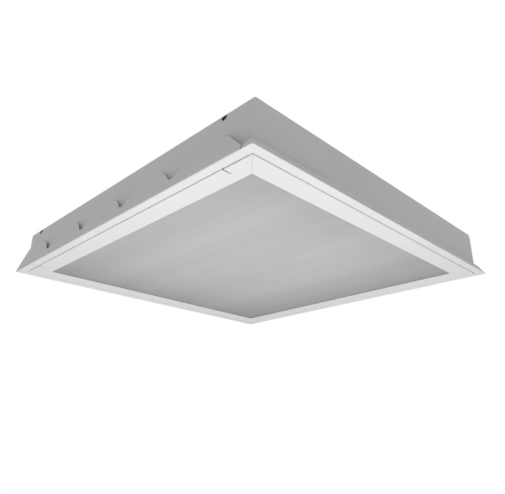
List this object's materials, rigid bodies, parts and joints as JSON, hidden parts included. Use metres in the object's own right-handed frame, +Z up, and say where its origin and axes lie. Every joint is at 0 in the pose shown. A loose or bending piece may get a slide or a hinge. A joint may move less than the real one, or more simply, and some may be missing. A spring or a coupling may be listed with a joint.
{
  "type": "recessed troffer light",
  "caption": "Square recessed ceiling troffer: shallow steel box with a grid flange and a hinged, mitred door frame that carries a flat prismatic lens, held by sliding latches.",
  "frame": {"origin": "centre of the ceiling flange, on its underside", "axes": "+Z up into the ceiling, +X towards the door's hinges, +Y along the side rails, away from the wiring end"},
  "size_m": [0.6032, 0.6032, 0.0778],
  "materials": {
    "box_paint": "white baked enamel, satin",
    "inner_paint": "white reflecting enamel, matt",
    "door_paint": "white baked enamel, satin",
    "lens_acrylic": "frosted prismatic acrylic",
    "zinc": "bright zinc plate",
    "board": "white coated aluminium board",
    "emitter": "yellow phosphor",
    "plug": "white nylon",
    "driver_case": "white painted can",
    "splice": "orange moulding",
    "ground_green": "green dyed steel",
    "wire_black": "insulation",
    "wire_white": "insulation",
    "wire_green": "insulation",
    "wire_red": "insulation"
  },
  "bodies": {
    "housing": {"top_pan": "inner_paint", "side_rail_left": "box_paint", "side_rail_right": "box_paint", "end_plate_front": "box_paint", "end_plate_rear": "box_paint", "pan_rivets": "zinc", "door_stops": "zinc", "access_plate": "box_paint", "access_screws": "zinc", "led_board_1": "board", "led_board_2": "board", "led_board_3": "board", "led_board_4": "board", "emitters": "emitter", "board_screws": "zinc", "board_plugs": "plug", "driver": "driver_case", "driver_screws": "zinc", "driver_cover": "inner_paint", "cover_screws": "zinc", "wire_splice": "splice", "ground_screw": "ground_green", "lead_black": "wire_black", "lead_white": "wire_white", "lead_green": "wire_green", "output_leads": "wire_red", "board_jumpers": "wire_red", "hinge_straps": "zinc", "strap_rivets": "zinc"},
    "door": {"door_rail_left": "door_paint", "door_rail_right": "door_paint", "door_rail_front": "door_paint", "door_rail_rear": "door_paint", "corner_keys": "zinc", "lens": "lens_acrylic", "lens_clips": "zinc", "hinge_brackets": "zinc", "hinge_pins": "zinc", "latch_guides": "zinc", "guide_pins": "zinc"},
    "latch_front": {"latch_bolt_front": "zinc"},
    "latch_rear": {"latch_bolt_rear": "zinc"}
  },
  "joints": [
    {"name": "door_hinge", "type": "hinge", "parent": "housing", "child": "door", "pos_m": [0.277, 0, 0.004], "axis": [0, -1, 0], "range_deg": [0, 100]},
    {"name": "latch_front_slide", "type": "slide", "parent": "door", "child": "latch_front", "axis": [-1, 0, 0], "range_m": [0, 0.0064]},
    {"name": "latch_rear_slide", "type": "slide", "parent": "door", "child": "latch_rear", "axis": [-1, 0, 0], "range_m": [0, 0.0064]}
  ]
}
